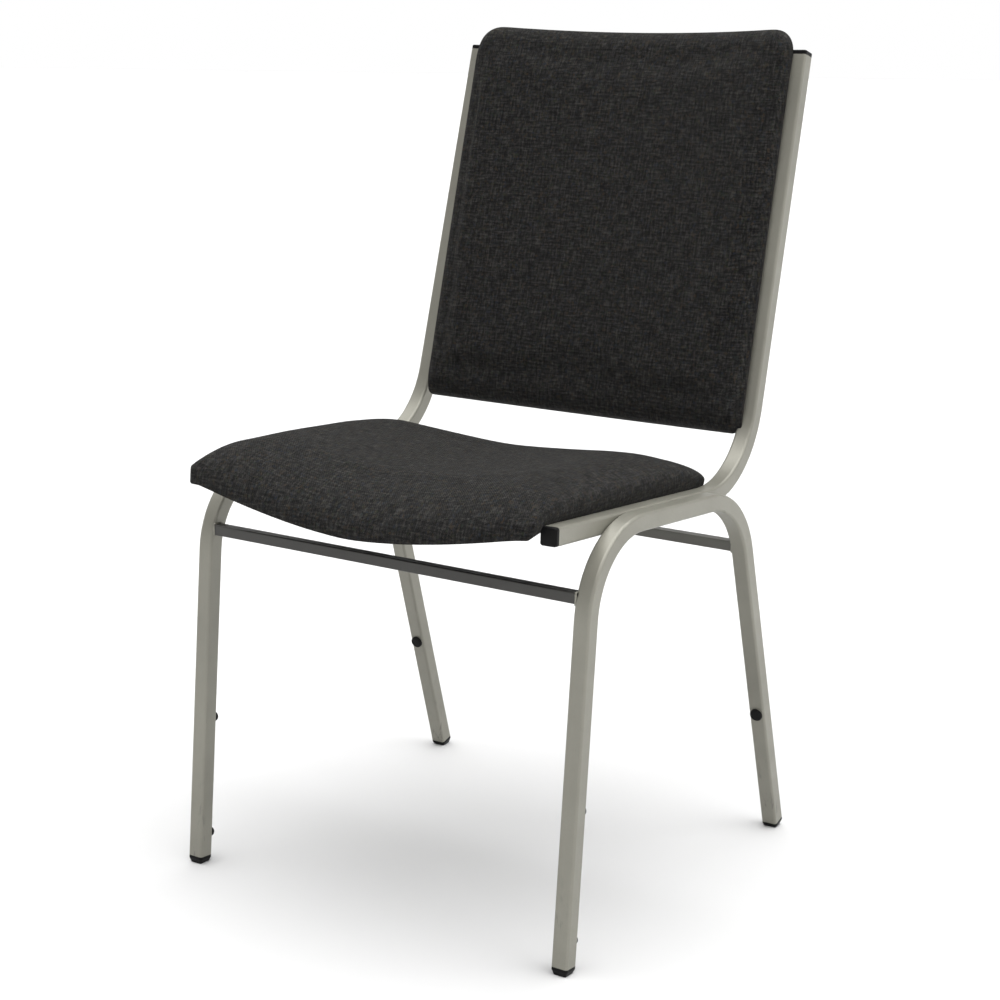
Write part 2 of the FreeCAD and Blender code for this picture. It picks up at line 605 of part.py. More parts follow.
def makePad(name, form, place, fixings):
    """Board, foam and cover of one pad, with its tee nuts and screws at the fixings."""
    local = FreeCAD.Placement()
    spots = [standOn(form, local, side * size("screwX"), y) for _, side in sides for y in fixings]
    bores = []
    rooms = []
    for spot in spots:
        bore = fixingBore.copy()
        bore.Placement = spot
        bores.append(bore)
        room = flangeRoom.copy()
        room.Placement = spot
        rooms.append(room)
    skin = size("skin")
    board = form.layer(size("boardInset"), boardBottom, boardTop).cut(bores)
    boardRoom = form.layer(size("boardInset") - gap, -2, boardTop + gap)
    foam = form.layer(skin + gap, skin + gap).cut([boardRoom] + rooms)
    opening = form.layer(size("foldWidth"), -2, skin + 2)
    cover = form.layer(0, 0).cut([form.layer(skin, skin), opening] + bores)
    softPart(name + "_board", board, place)
    softPart(name + "_foam", foam, place)
    softPart(name + "_cover", cover, place)
    groupOf(name + "_tee_nuts", nutShape, [place.multiply(spot) for spot in spots])
    groupOf(name + "_screws", screwShape, [place.multiply(spot) for spot in spots])


seatFixings = [size("seatFrontLugY"), size("seatRearLugY")]
backFixings = [size("backLowerLug"), size("backUpperLug")]
makePad("seat", seatForm, seatPlace, seatFixings)
makePad("back", backForm, backPlace, backFixings)

# Under the seat a dust cover closes the opening; behind the back a covered panel does
dustTop = -gap
dust = seatForm.layer(size("panelInset"), dustTop - size("dustThick"), dustTop)
softPart("seat_dust_cover", dust, seatPlace)
panelTop = -gap - size("stapleThick")
panel = backForm.layer(size("panelInset"), panelTop - size("panelThick"), panelTop)
softPart("back_rear_panel", panel, backPlace)
for name, form, place, fixings, level in [
        ("seat", seatForm, seatPlace, seatFixings, dustTop - size("dustThick")),
        ("back", backForm, backPlace, backFixings, 0.0)]:
    places = []
    for x, y, turn in stapleSpots(form, fixings):
        spot = standOn(form, place, x, y)
        places.append(spot.multiply(FreeCAD.Placement(V(0, 0, level), FreeCAD.Rotation(V(0, 0, 1), turn))))
    groupOf(name + "_staples", stapleShape, places)


def lugTab(form, y, outerX):
    """Flat tab along a pad's underside at y, from lugInnerX out to outerX, drilled for its screw."""
    innerX = size("lugInnerX")
    length = outerX - innerX
    rise = form.under(outerX, y) - form.under(innerX, y)
    slant = math.degrees(math.atan2(rise, length))
    tab = Part.makeBox(math.hypot(length, rise), size("lugWidth"), size("lugThick"),
                       V(0, -size("lugWidth") / 2, -size("lugThick")))
    tab.Placement = FreeCAD.Placement(V(innerX, y, form.under(innerX, y) - gap),
                                      FreeCAD.Rotation(V(0, 1, 0), -slant))
    drillStart = V(0, 0, -2.5 * size("lugThick"))
    drill = Part.makeCylinder(size("screwRadius") + gap, 4 * size("lugThick"), drillStart)
    drill.Placement = standOn(form, FreeCAD.Placement(), size("screwX"), y)
    return tab.cut(drill)


def mirrored(shape, side):
    return shape if side > 0 else shape.mirror(V(0, 0, 0), V(1, 0, 0))


# Lugs welded to the inner faces of the rails, bent up under the seat, and to those of the uprights
railInner = railHalfWidth - size("tubeSize") / 2
uprightLean = math.sin(math.radians(size("toeIn")))
uprightRise = math.sin(math.radians(size("uprightTurn")))
for sideName, side in sides:
    for endName, y in [("front", size("seatFrontLugY")), ("rear", size("seatRearLugY"))]:
        outer = railInner - gap
        flangeTop = seatForm.under(outer - size("lugThick"), y) - gap
        corner = V(outer - size("lugThick"), y - size("lugWidth") / 2, flangeTop - size("lugFlange"))
        flange = Part.makeBox(size("lugThick"), size("lugWidth"), size("lugFlange"), corner)
        tab = lugTab(seatForm, y, outer - size("lugThick") / 2)
        lug = tab.fuse(flange).removeSplitter()
        softPart("seat_lug_%s_%s" % (endName, sideName), mirrored(lug, side), seatPlace)
    for endName, y in [("lower", size("backLowerLug")), ("upper", size("backUpperLug"))]:
        inner = railInner - uprightLean * uprightRise * (size("uprightRun") + y)
        lug = lugTab(backForm, y, inner - gap)
        softPart("back_lug_%s_%s" % (endName, sideName), mirrored(lug, side), backPlace)

doc.recompute()
bad = [item.Name for item in doc.Objects if "Invalid" in item.State or "Error" in item.State]
if bad:
    raise RuntimeError("objects failed: " + ", ".join(bad))
for item in parts:
    if item.Shape.isNull() or not item.Shape.isValid():
        raise RuntimeError("bad shape: " + item.Label)
os.makedirs("parts", exist_ok=True)
for item in parts:
    item.Shape.exportStep("parts/%s.step" % item.Label)
print("wrote %d sub-parts" % len(parts))
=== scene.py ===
import math

import bpy
import numpy as np
from mathutils import Matrix, Vector


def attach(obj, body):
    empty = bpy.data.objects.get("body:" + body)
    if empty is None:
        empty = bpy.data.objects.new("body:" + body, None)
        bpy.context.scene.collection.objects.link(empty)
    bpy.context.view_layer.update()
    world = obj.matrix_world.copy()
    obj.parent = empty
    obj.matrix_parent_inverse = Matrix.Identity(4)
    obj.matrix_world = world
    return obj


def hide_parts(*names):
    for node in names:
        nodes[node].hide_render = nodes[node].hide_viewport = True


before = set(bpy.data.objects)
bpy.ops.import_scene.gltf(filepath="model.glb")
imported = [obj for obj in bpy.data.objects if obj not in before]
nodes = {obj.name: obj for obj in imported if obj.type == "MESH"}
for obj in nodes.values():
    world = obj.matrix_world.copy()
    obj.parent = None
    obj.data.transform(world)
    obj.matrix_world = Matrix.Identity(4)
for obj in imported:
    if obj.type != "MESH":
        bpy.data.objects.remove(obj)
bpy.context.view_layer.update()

scene = bpy.context.scene
bpy.ops.object.select_all(action="DESELECT")

# camera
view = {
    "place": (1.2001, -1.8242, 0.91905),
    "lens": 71.388,
    "turn": 33.436,  # degrees round from straight ahead
    "down": 13.118,
    "roll": 0.746,
    "farthest": 50,
}


def aimCamera():
    turn, down, roll = (math.radians(view[key]) for key in ("turn", "down", "roll"))
    level = math.cos(down)
    ahead = Vector((-math.sin(turn) * level, math.cos(turn) * level, -math.sin(down)))
    right = Vector((math.cos(turn), math.sin(turn), 0))
    above = right.cross(ahead)
    across = math.cos(roll) * right + math.sin(roll) * above
    upward = math.cos(roll) * above - math.sin(roll) * right
    lensData = bpy.data.cameras.new("studioCamera")
    lensData.lens = view["lens"]
    lensData.clip_end = view["farthest"]
    camera = bpy.data.objects.new("studioCamera", lensData)
    scene.collection.objects.link(camera)
    aim = Matrix((across, upward, -ahead)).transposed().to_4x4()
    camera.matrix_world = Matrix.Translation(view["place"]) @ aim
    scene.camera = camera


aimCamera()

# light and floor
studio = {
    # height above the horizon, from 0 to 1 overhead, and how bright the sky is there
    "sky": [(0.03, 1.0), (0.12, 0.76), (0.35, 0.36), (0.72, 0.5), (0.84, 3.8)],
    "floorWidth": 120,
    "floorColour": (0.64, 0.64, 0.64),
    "floorRoughness": 0.9,
    "sunFrom": (1.0, 0.2, 0.8),
    "sunStrength": 1.05,
    "sunSpread": 50,  # degrees, for soft shadows
}


def fillRamp(band, stops):
    # a new ramp has two elements
    while len(band.elements) < len(stops):
        band.elements.new(0.5)
    for element, (place, colour) in zip(band.elements, stops):
        element.position = place
        element.color = (*colour, 1)


def lightStudio():
    world = bpy.data.worlds.new("studioWorld")
    world.use_nodes = True
    tree = world.node_tree
    where = tree.nodes.new("ShaderNodeTexCoord")
    height = tree.nodes.new("ShaderNodeSeparateXYZ")
    sky = tree.nodes.new("ShaderNodeValToRGB")
    fillRamp(sky.color_ramp, [(place, (bright, bright, bright)) for place, bright in studio["sky"]])
    tree.links.new(where.outputs["Generated"], height.inputs[0])
    tree.links.new(height.outputs["Z"], sky.inputs["Fac"])
    tree.links.new(sky.outputs["Color"], tree.nodes["Background"].inputs["Color"])
    scene.world = world
    sunlight = bpy.data.lights.new("softSun", "SUN")
    sunlight.energy = studio["sunStrength"]
    sunlight.angle = math.radians(studio["sunSpread"])
    sun = bpy.data.objects.new("softSun", sunlight)
    sun.rotation_euler = Vector(studio["sunFrom"]).to_track_quat("Z", "Y").to_euler()
    scene.collection.objects.link(sun)
    bpy.ops.mesh.primitive_plane_add(size=studio["floorWidth"])
    floor = bpy.context.object
    floor.name = "studioFloor"
    paint = bpy.data.materials.new("floorPaint")
    paint.use_nodes = True
    shader = paint.node_tree.nodes["Principled BSDF"]
    shader.inputs["Base Color"].default_value = (*studio["floorColour"], 1)
    shader.inputs["Roughness"].default_value = studio["floorRoughness"]
    floor.data.materials.append(paint)
    scene.view_settings.view_transform = "Standard"


lightStudio()
print("camera, light and floor are set")

# material helpers
# a Mix node keeps its colour sockets at these places
colourSockets = {"amount": 0, "first": 6, "second": 7, "result": 2}


def wire(tree, value, socket):
    # a socket is linked, and anything else is a fixed value
    if isinstance(value, bpy.types.NodeSocket):
        tree.links.new(value, socket)
    else:
        socket.default_value = value


def addNode(tree, kind, inputs=None, **settings):
    node = tree.nodes.new("ShaderNode" + kind)
    for key, value in settings.items():
        setattr(node, key, value)
    for key, value in (inputs or {}).items():
        wire(tree, value, node.inputs[key])
    return node


def newFinish(name, coords, fixed):
    material = bpy.data.materials.new(name)
    material.use_nodes = True
    tree = material.node_tree
    shader = tree.nodes["Principled BSDF"]
    for key, value in fixed.items():
        shader.inputs[key].default_value = value
    where = addNode(tree, "TexCoord").outputs[coords]
    return material, tree, shader, where


def stretched(tree, coords, scale):
    # the same coordinates with each axis scaled by its own amount
    return addNode(tree, "Mapping", {"Vector": coords, "Scale": scale}).outputs[0]


def speckle(tree, coords, scale, detail=2.0, rough=0.5):
    return addNode(tree, "TexNoise", {"Vector": coords, "Scale": scale, "Detail": detail,
                                      "Roughness": rough}).outputs["Fac"]


def cells(tree, coords, **inputs):
    return addNode(tree, "TexVoronoi", {"Vector": coords, **inputs}).outputs["Distance"]


def ramp(tree, value, stops):
    node = addNode(tree, "ValToRGB", {"Fac": value})
    fillRamp(node.color_ramp, stops)
    return node.outputs["Color"]


def rescale(tree, value, low, high, newLow, newHigh):
    return addNode(tree, "MapRange", {"Value": value, "From Min": low, "From Max": high,
                                      "To Min": newLow, "To Max": newHigh}).outputs[0]


def combine(tree, first, second, operation):
    node = addNode(tree, "Math", operation=operation)
    wire(tree, first, node.inputs[0])
    wire(tree, second, node.inputs[1])
    return node.outputs[0]


def blendValues(tree, amount, first, second):
    return addNode(tree, "Mix", {"Factor": amount, "A": first, "B": second}).outputs["Result"]


def blendColours(tree, amount, first, second, mode="MIX"):
    node = addNode(tree, "Mix", data_type="RGBA", blend_type=mode)
    wire(tree, amount, node.inputs[colourSockets["amount"]])
    wire(tree, first, node.inputs[colourSockets["first"]])
    wire(tree, second, node.inputs[colourSockets["second"]])
    return node.outputs[colourSockets["result"]]


def tint(tree, shader, value, tones):
    tree.links.new(ramp(tree, value, tones), shader.inputs["Base Color"])


def dull(tree, shader, value, span):
    tree.links.new(rescale(tree, value, *span), shader.inputs["Roughness"])


def roughen(tree, shader, height, strength, distance):
    bump = addNode(tree, "Bump", {"Height": height, "Strength": strength, "Distance": distance})
    tree.links.new(bump.outputs[0], shader.inputs["Normal"])


# In the finishes below a noise is its scale in waves to the metre, its detail and its roughness,
# a span is the noise's low and high and what they become, and a bump is its strength and depth.

# powder coat
coat = {
    "fixed": {"Metallic": 0.35},
    "frontBarPaintedShade": (0.20, 0.20, 0.22),  # painted shade: both crossbar coats are the frame's coat, darkened for the shade under the seat
    "rearBarPaintedShade": (0.36, 0.36, 0.37),
    "cloud": (9, 4, 0.6),
    "tones": [(0.3, (0.212, 0.206, 0.174)), (0.7, (0.250, 0.244, 0.206))],
    "flake": (2600, 1),
    "flakeTones": [(0.35, (0.86, 0.86, 0.86)), (0.65, (1.1, 1.1, 1.1))],
    "flakeShare": 0.7,
    "scuff": (0.12, 0.115, 0.105),
    "scuffTop": 0.13,  # scuffs fade out this high above the floor
    "scuffStretch": (160, 160, 28),
    "scuffNoise": (1, 5, 0.65),
    "scuffSpan": (0.58, 0.66, 0.0, 0.8),
    "handled": (38, 5, 0.6),
    "handledSpan": (0.3, 0.7, 0.3, 0.44),
    "peel": (850, 2),  # orange peel
    "bump": (0.12, 0.0004),
}


def powderCoat(name, shade):
    material, tree, shader, where = newFinish(name, "Object", coat["fixed"])
    tone = ramp(tree, speckle(tree, where, *coat["cloud"]), coat["tones"])
    flakes = ramp(tree, speckle(tree, where, *coat["flake"]), coat["flakeTones"])
    tone = blendColours(tree, coat["flakeShare"], tone, flakes, "MULTIPLY")
    # shade multiplies in painted shade: white leaves the frame's coat as it is, darker tones give the
    # crossbars' shade under the seat
    tone = blendColours(tree, 1.0, tone, (*shade, 1), "MULTIPLY")
    height = addNode(tree, "SeparateXYZ", {"Vector": where}).outputs["Z"]
    low = rescale(tree, height, 0.0, coat["scuffTop"], 1.0, 0.0)
    marks = speckle(tree, stretched(tree, where, coat["scuffStretch"]), *coat["scuffNoise"])
    scuffed = combine(tree, low, rescale(tree, marks, *coat["scuffSpan"]), "MULTIPLY")
    tone = blendColours(tree, scuffed, tone, (*coat["scuff"], 1))
    tree.links.new(tone, shader.inputs["Base Color"])
    dull(tree, shader, speckle(tree, where, *coat["handled"]), coat["handledSpan"])
    peel = speckle(tree, where, *coat["peel"])
    roughen(tree, shader, combine(tree, peel, scuffed, "SUBTRACT"), *coat["bump"])
    return material


# heather cloth
cloth = {
    "fixed": {"Roughness": 0.95, "Sheen Weight": 0.05, "Sheen Roughness": 0.5,
              "Sheen Tint": (0.62, 0.60, 0.56, 1), "Specular IOR Level": 0.12},
    "pitch": 0.00135,  # one thread
    "waveRate": 20,  # a wave texture's own multiplier
    "wave": {"Distortion": 0.9, "Detail": 2, "Detail Scale": 0.6},
    "slub": 62,  # streaks in a metre along a thread
    "across": 0.6,  # streaks in the width of a thread
    "yarn": (1, 3, 0.55),
    "crossingShare": 0.4,
    "yarnShare": 0.68,
    "mottles": [((300, 3, 0.6), 0.26), ((45, 3, 0.5), 0.06)],  # each noise with its share
    "tones": [(0.41, (0.0040, 0.0039, 0.0040)), (0.47, (0.0082, 0.0080, 0.0080)),
              (0.53, (0.0164, 0.0158, 0.0153)), (0.61, (0.039, 0.0375, 0.0350))],
    "flecks": [(0.0, (0.034, 0.022, 0.013)), (0.35, (0.018, 0.024, 0.014)),
               (0.65, (0.012, 0.016, 0.026)), (1.0, (0.042, 0.031, 0.020))],
    "fleckStretch": (420, 420, 1),
    "fleckSpan": (0.62, 0.95, 0.0, 0.55),
    "fuzz": (1500, 3, 0.7),
    "bump": (0.55, 0.0005),
}


def heatherCloth():
    material, tree, shader, where = newFinish("heatherCloth", "UV", cloth["fixed"])
    threads = 2 * math.pi / (cloth["waveRate"] * cloth["pitch"])
    wave = {"Vector": where, "Scale": threads, **cloth["wave"]}
    warp = addNode(tree, "TexWave", wave, bands_direction="X").outputs["Fac"]
    weft = addNode(tree, "TexWave", wave, bands_direction="Y").outputs["Fac"]
    over = addNode(tree, "TexChecker", {"Vector": where, "Scale": 1 / cloth["pitch"]}).outputs["Fac"]
    across = cloth["across"] / cloth["pitch"]
    warpYarn = speckle(tree, stretched(tree, where, (across, cloth["slub"], 1)), *cloth["yarn"])
    weftYarn = speckle(tree, stretched(tree, where, (cloth["slub"], across, 1)), *cloth["yarn"])
    crossing = blendValues(tree, over, warpYarn, weftYarn)
    yarn = combine(tree, combine(tree, warpYarn, weftYarn, "ADD"), 0.5, "MULTIPLY")
    yarn = blendValues(tree, cloth["crossingShare"], yarn, crossing)
    shade = combine(tree, yarn, cloth["yarnShare"], "MULTIPLY")
    for noise, share in cloth["mottles"]:
        mottle = combine(tree, speckle(tree, where, *noise), share, "MULTIPLY")
        shade = combine(tree, shade, mottle, "ADD")
    tone = ramp(tree, shade, cloth["tones"])
    spots = stretched(tree, where, cloth["fleckStretch"])
    tufts = addNode(tree, "TexVoronoi", {"Vector": spots, "Scale": 1})
    pick = addNode(tree, "SeparateColor", {"Color": tufts.outputs["Color"]})
    fleck = ramp(tree, pick.outputs[0], cloth["flecks"])
    few = rescale(tree, pick.outputs[1], *cloth["fleckSpan"])
    tree.links.new(blendColours(tree, few, tone, fleck), shader.inputs["Base Color"])
    ridge = blendValues(tree, over, warp, weft)
    fuzz = speckle(tree, where, *cloth["fuzz"])
    roughen(tree, shader, combine(tree, ridge, fuzz, "ADD"), *cloth["bump"])
    return material


# caps and glides
plastic = {
    "fixed": {"Specular IOR Level": 0.12},
    "cloud": (60, 4),
    "tones": [(0.3, (0.002, 0.002, 0.002)), (0.7, (0.005, 0.005, 0.0055))],
    "worn": (240, 4, 0.6),
    "wornSpan": (0.3, 0.7, 0.34, 0.55),
    "grain": 1400,
    "bump": (0.25, 0.0002),
}


def blackPlastic():
    material, tree, shader, where = newFinish("blackPlastic", "Object", plastic["fixed"])
    tint(tree, shader, speckle(tree, where, *plastic["cloud"]), plastic["tones"])
    dull(tree, shader, speckle(tree, where, *plastic["worn"]), plastic["wornSpan"])
    roughen(tree, shader, cells(tree, where, Scale=plastic["grain"]), *plastic["bump"])
    return material


# stacking bumpers
rubber = {
    "fixed": {"Roughness": 0.72, "Specular IOR Level": 0.15},
    "cloud": (180, 5, 0.7),
    "tones": [(0.3, (0.003, 0.003, 0.003)), (0.75, (0.009, 0.009, 0.009))],
    "pores": (1900, 3, 0.6),
    "bump": (0.3, 0.0003),
}


def bumperRubber():
    material, tree, shader, where = newFinish("bumperRubber", "Object", rubber["fixed"])
    tint(tree, shader, speckle(tree, where, *rubber["cloud"]), rubber["tones"])
    roughen(tree, shader, speckle(tree, where, *rubber["pores"]), *rubber["bump"])
    return material


# cloth under the seat
dust = {
    "fixed": {"Roughness": 0.95, "Sheen Weight": 0.1},
    "fibreStretch": (900, 260, 1),
    "fibres": (1, 5, 0.7),
    "tones": [(0.3, (0.008, 0.008, 0.008)), (0.7, (0.022, 0.022, 0.023))],
    "dots": {"Scale": 520, "Randomness": 0.15},
    "bump": (0.5, 0.0003),
}


def dustCloth():
    material, tree, shader, where = newFinish("dustCloth", "UV", dust["fixed"])
    fibres = speckle(tree, stretched(tree, where, dust["fibreStretch"]), *dust["fibres"])
    tint(tree, shader, fibres, dust["tones"])
    roughen(tree, shader, combine(tree, cells(tree, where, **dust["dots"]), fibres, "ADD"), *dust["bump"])
    return material


# boards
ply = {
    "fixed": {"Roughness": 0.68},
    "grainStretch": (1, 9, 9),
    "grain": {"Scale": 6, "Distortion": 7, "Detail": 4, "Detail Scale": 1.3},
    "tones": [(0.0, (0.42, 0.27, 0.13)), (1.0, (0.58, 0.41, 0.22))],
    "poreStretch": (40, 900, 900),
    "pores": (1, 3),
    "bump": (0.3, 0.0004),
}


def plywood():
    material, tree, shader, where = newFinish("plywood", "Object", ply["fixed"])
    along = stretched(tree, where, ply["grainStretch"])
    rings = addNode(tree, "TexWave", {"Vector": along, **ply["grain"]}).outputs["Fac"]
    tint(tree, shader, rings, ply["tones"])
    pores = speckle(tree, stretched(tree, where, ply["poreStretch"]), *ply["pores"])
    roughen(tree, shader, pores, *ply["bump"])
    return material


# nuts, screws and staples
zinc = {
    "fixed": {"Metallic": 1.0},
    "spangle": 700,
    "tones": [(0.0, (0.46, 0.47, 0.48)), (0.8, (0.66, 0.66, 0.64))],
    "worn": (500, 4, 0.6),
    "wornSpan": (0.3, 0.7, 0.25, 0.48),
    "grain": (2400, 2),
    "bump": (0.15, 0.0002),
}


def zincSteel():
    material, tree, shader, where = newFinish("zincSteel", "Object", zinc["fixed"])
    tint(tree, shader, cells(tree, where, Scale=zinc["spangle"]), zinc["tones"])
    dull(tree, shader, speckle(tree, where, *zinc["worn"]), zinc["wornSpan"])
    roughen(tree, shader, speckle(tree, where, *zinc["grain"]), *zinc["bump"])
    return material


finishes = {
    "coat": powderCoat("powderCoat", (1, 1, 1)),
    # the crossbar coats are copies of the frame's coat with painted shade
    "frontBarPaintedShadeCoat": powderCoat("frontBarPaintedShadeCoat", coat["frontBarPaintedShade"]),
    "rearBarPaintedShadeCoat": powderCoat("rearBarPaintedShadeCoat", coat["rearBarPaintedShade"]),
    "cloth": heatherCloth(),
    "plastic": blackPlastic(),
    "rubber": bumperRubber(),
    "dust": dustCloth(),
    "ply": plywood(),
    "zinc": zincSteel(),
}

# finish of each node that shows, by the start of its name
frameFinishes = {
    "leg_frame": "coat", "seat_back_tube": "coat", "seat_lug": "coat", "back_lug": "coat",
    # the crossbars take the coats with painted shade
    "front_crossbar": "frontBarPaintedShadeCoat", "rear_crossbar": "rearBarPaintedShadeCoat",
    "foot_glide": "plastic", "rail_cap": "plastic", "upright_cap": "plastic",
    "rear_bumper": "rubber", "front_upper": "rubber", "front_lower": "rubber",
    "seat_board": "ply", "back_board": "ply",
    "seat_tee": "zinc", "back_tee": "zinc", "seat_screws": "zinc", "back_screws": "zinc",
    "seat_staples": "zinc", "back_staples": "zinc",
}
for nodeName, item in nodes.items():
    for start, finishName in frameFinishes.items():
        if nodeName.startswith(start):
            item.data.materials.clear()
            item.data.materials.append(finishes[finishName])
print("materials are made")

# pads
chairLines = {
    "railFront": (-0.25715, 0.4539),  # y and z of the rail's front end
    "slope": 3.55,  # degrees the rail falls towards the rear
    "railRun": 0.4026,
    "turn": 79.0,  # degrees from the rail up to the upright
    "uprightRun": 0.4903,
    "tube": 0.019,
}
seatPad = {
    # outline
    "halfWidth": 0.2145, "front": -0.2864, "rear": 0.086, "frontBow": 0.003, "rearBow": 0.004,
    "frontCorner": 0.004, "rearCorner": 0.011,
    # underside: the dish across, then the lip that drops at the front
    "lift": 0.0006, "dishFront": 0.031, "dishRear": 0.0155, "power": 1.6, "lip": 0.012, "lipLength": 0.08,
    # top: full thickness, height of the side walls, and how far in each edge is rounded
    "thick": 0.041, "sideHeight": 0.016, "roll": 0.066, "frontRound": 0.072, "rearRound": 0.093,
    "frontEdge": 0.0095, "rearEdge": 0.0056, "nose": 0.004, "tuck": 0.0026,
    # how far each side swells out past its board, at the front and at the rear
    "bulge": {-1: (0.0035, 0.0015), 1: (0.0055, 0.0025)}, "footShare": 0,
}
backPad = {
    "halfWidth": 0.211, "front": -0.432, "rear": 0.0286, "frontBow": 0, "rearBow": 0,
    "frontCorner": 0.006, "rearCorner": 0.029,
    "lift": 0.0005, "dishFront": 0.014, "dishRear": 0.028, "power": 2, "lip": 0, "lipLength": 1,
    "thick": 0.023, "sideHeight": 0.008, "roll": 0.0255, "frontRound": 0.029, "rearRound": 0.028,
    "frontEdge": 0.0028, "rearEdge": 0.0028, "nose": 0, "tuck": 0,
    "bulge": {-1: (-0.001, -0.0005), 1: (0.0052, 0.0005)}, "footShare": 0.8,
}
# how late each change comes on towards a pad's sides, as a power of the distance from the middle
sidePowers = {"nose": 16, "bulge": 8, "tuck": 24}
nosePower = 4  # how soon the nose dies away up the front edge


def padPlaces():
    # each pad's own axes: x across, y along, z out of the cushion
    slope = math.radians(chairLines["slope"])
    rise = math.radians(chairLines["turn"]) - slope
    frontY, frontZ = chairLines["railFront"]
    half = chairLines["tube"] / 2
    seat = (Matrix.Translation((0, frontY + math.sin(slope) * half, frontZ + math.cos(slope) * half))
            @ Matrix.Rotation(-slope, 4, "X") @ Matrix.Translation((0, -frontY, 0)))
    topY = frontY + math.cos(slope) * chairLines["railRun"] + math.cos(rise) * chairLines["uprightRun"]
    topZ = frontZ - math.sin(slope) * chairLines["railRun"] + math.sin(rise) * chairLines["uprightRun"]
    back = (Matrix.Translation((0, topY - math.sin(rise) * half, topZ + math.cos(rise) * half))
            @ Matrix.Rotation(rise, 4, "X"))
    return seat, back


seatPlace, backPlace = padPlaces()


def padEnds(pad, x, inset):
    # first and last y of a pad at x, with round corners
    wide = pad["halfWidth"] - inset
    share = min(1.0, abs(x) / wide) ** 2
    first = pad["front"] + inset + pad["frontBow"] * share
    last = pad["rear"] - inset - pad["rearBow"] * share

    def corner(radius):
        into = max(0.0, abs(x) - (wide - radius))
        return radius - math.sqrt(max(0.0, radius * radius - into * into))
    return first + corner(pad["frontCorner"]), last - corner(pad["rearCorner"])


def alongShare(pad, y):
    return min(1.0, max(0.0, (y - pad["front"]) / (pad["rear"] - pad["front"])))


def padUnder(pad, x, y):
    # height of a pad's underside above the plane of the tubes
    share = (abs(x) / pad["halfWidth"]) ** pad["power"]
    along = alongShare(pad, y)
    dish = pad["dishFront"] + (pad["dishRear"] - pad["dishFront"]) * along
    lip = max(0.0, 1 - (y - pad["front"]) / pad["lipLength"])
    return pad["lift"] - dish * (1 - share) - pad["lip"] * lip * lip


def onlyActive(piece):
    bpy.ops.object.select_all(action="DESELECT")
    piece.select_set(True)
    bpy.context.view_layer.objects.active = piece


def applyModifier(piece, kind, **settings):
    onlyActive(piece)
    modifier = piece.modifiers.new(kind.lower(), kind)
    for key, value in settings.items():
        setattr(modifier, key, value)
    bpy.ops.object.modifier_apply(modifier=modifier.name)


def readPoints(mesh):
    points = np.empty(len(mesh.vertices) * 3)
    mesh.vertices.foreach_get("co", points)
    return points.reshape(-1, 3)


def readNormals(mesh):
    normals = np.empty(len(mesh.vertices) * 3)
    mesh.vertex_normals.foreach_get("vector", normals)
    return normals.reshape(-1, 3)


def writePoints(mesh, points):
    mesh.vertices.foreach_set("co", points.ravel())
    mesh.update()


def unwrapFlat(piece):
    # metres on the cloth, from whichever side each face looks to
    onlyActive(piece)
    bpy.ops.object.mode_set(mode="EDIT")
    bpy.ops.mesh.select_all(action="SELECT")
    bpy.ops.uv.cube_project(cube_size=1.0, correct_aspect=False)
    bpy.ops.object.mode_set(mode="OBJECT")


def settle(piece, finishName, slotName, *replaced):
    piece.data.materials.clear()
    piece.data.materials.append(finishes[finishName])
    if replaced:
        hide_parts(*replaced)
    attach(piece, "root")


cushion = {
    "spacing": 0.007,
    "roundSteps": 11,  # rows round each curved edge
    "wallSteps": 5,  # rows up the side walls
    # the cloth is free on faces that look up: from where, over what range, and how little counts as held
    "freeFrom": 0.45,
    "freeRange": 0.6,
    "heldBelow": 0.02,
    "startInset": 0.0022,
    "pressure": 4.0,
    "quality": 5,
    "stiffness": 15,
    "bending": 0.5,
    "frames": 20,
    # how far the cloth may end from the drawn form, once the usual rise is taken off
    "settled": 0.0012,
    "riseCap": 0.005,
    "sinkCap": 0.0008,
    "slideCap": 0.0015,
}


def spread(first, last, spacing):
    count = max(1, round((last - first) / spacing))
    return [first + (last - first) * step / count for step in range(1, count)]


def padStations(pad):
    # x across the pad and how high it is there, closer together round the two sides
    steps = cushion["roundSteps"]
    flat = pad["halfWidth"] - pad["roll"]
    turns = [math.pi / 2 * step / steps for step in range(steps + 1)]
    rise = pad["thick"] - pad["sideHeight"]
    right = [(flat + pad["roll"] * math.sin(turn), pad["sideHeight"] + rise * math.cos(turn))
             for turn in turns]
    left = [(-x, height) for x, height in reversed(right)]
    return left + [(x, pad["thick"]) for x in spread(-flat, flat, cushion["spacing"])] + right


def padRow(pad, x, height):
    # y and height of each point over the pad from front to rear
    steps = cushion["roundSteps"]
    first, last = padEnds(pad, x, 0)
    frontEdge, rearEdge = pad["frontEdge"], pad["rearEdge"]
    nose = pad["nose"] * (abs(x) / pad["halfWidth"]) ** sidePowers["nose"]
    turns = [math.pi / 2 * step / steps for step in range(steps + 1)]
    row = [(first + pad["frontRound"] * (1 - math.cos(turn)),
            frontEdge + (height - frontEdge) * math.sin(turn) + nose * math.cos(turn) ** nosePower)
           for turn in turns]
    start = first + pad["frontRound"]
    end = last - pad["rearRound"]
    whole = pad["rear"] - pad["front"] - pad["frontRound"] - pad["rearRound"]
    count = round(whole / cushion["spacing"])
    row += [(start + (end - start) * step / count, height) for step in range(1, count)]
    row += [(last - pad["rearRound"] * (1 - math.cos(turn)),
             rearEdge + (height - rearEdge) * math.sin(turn)) for turn in reversed(turns)]
    return row


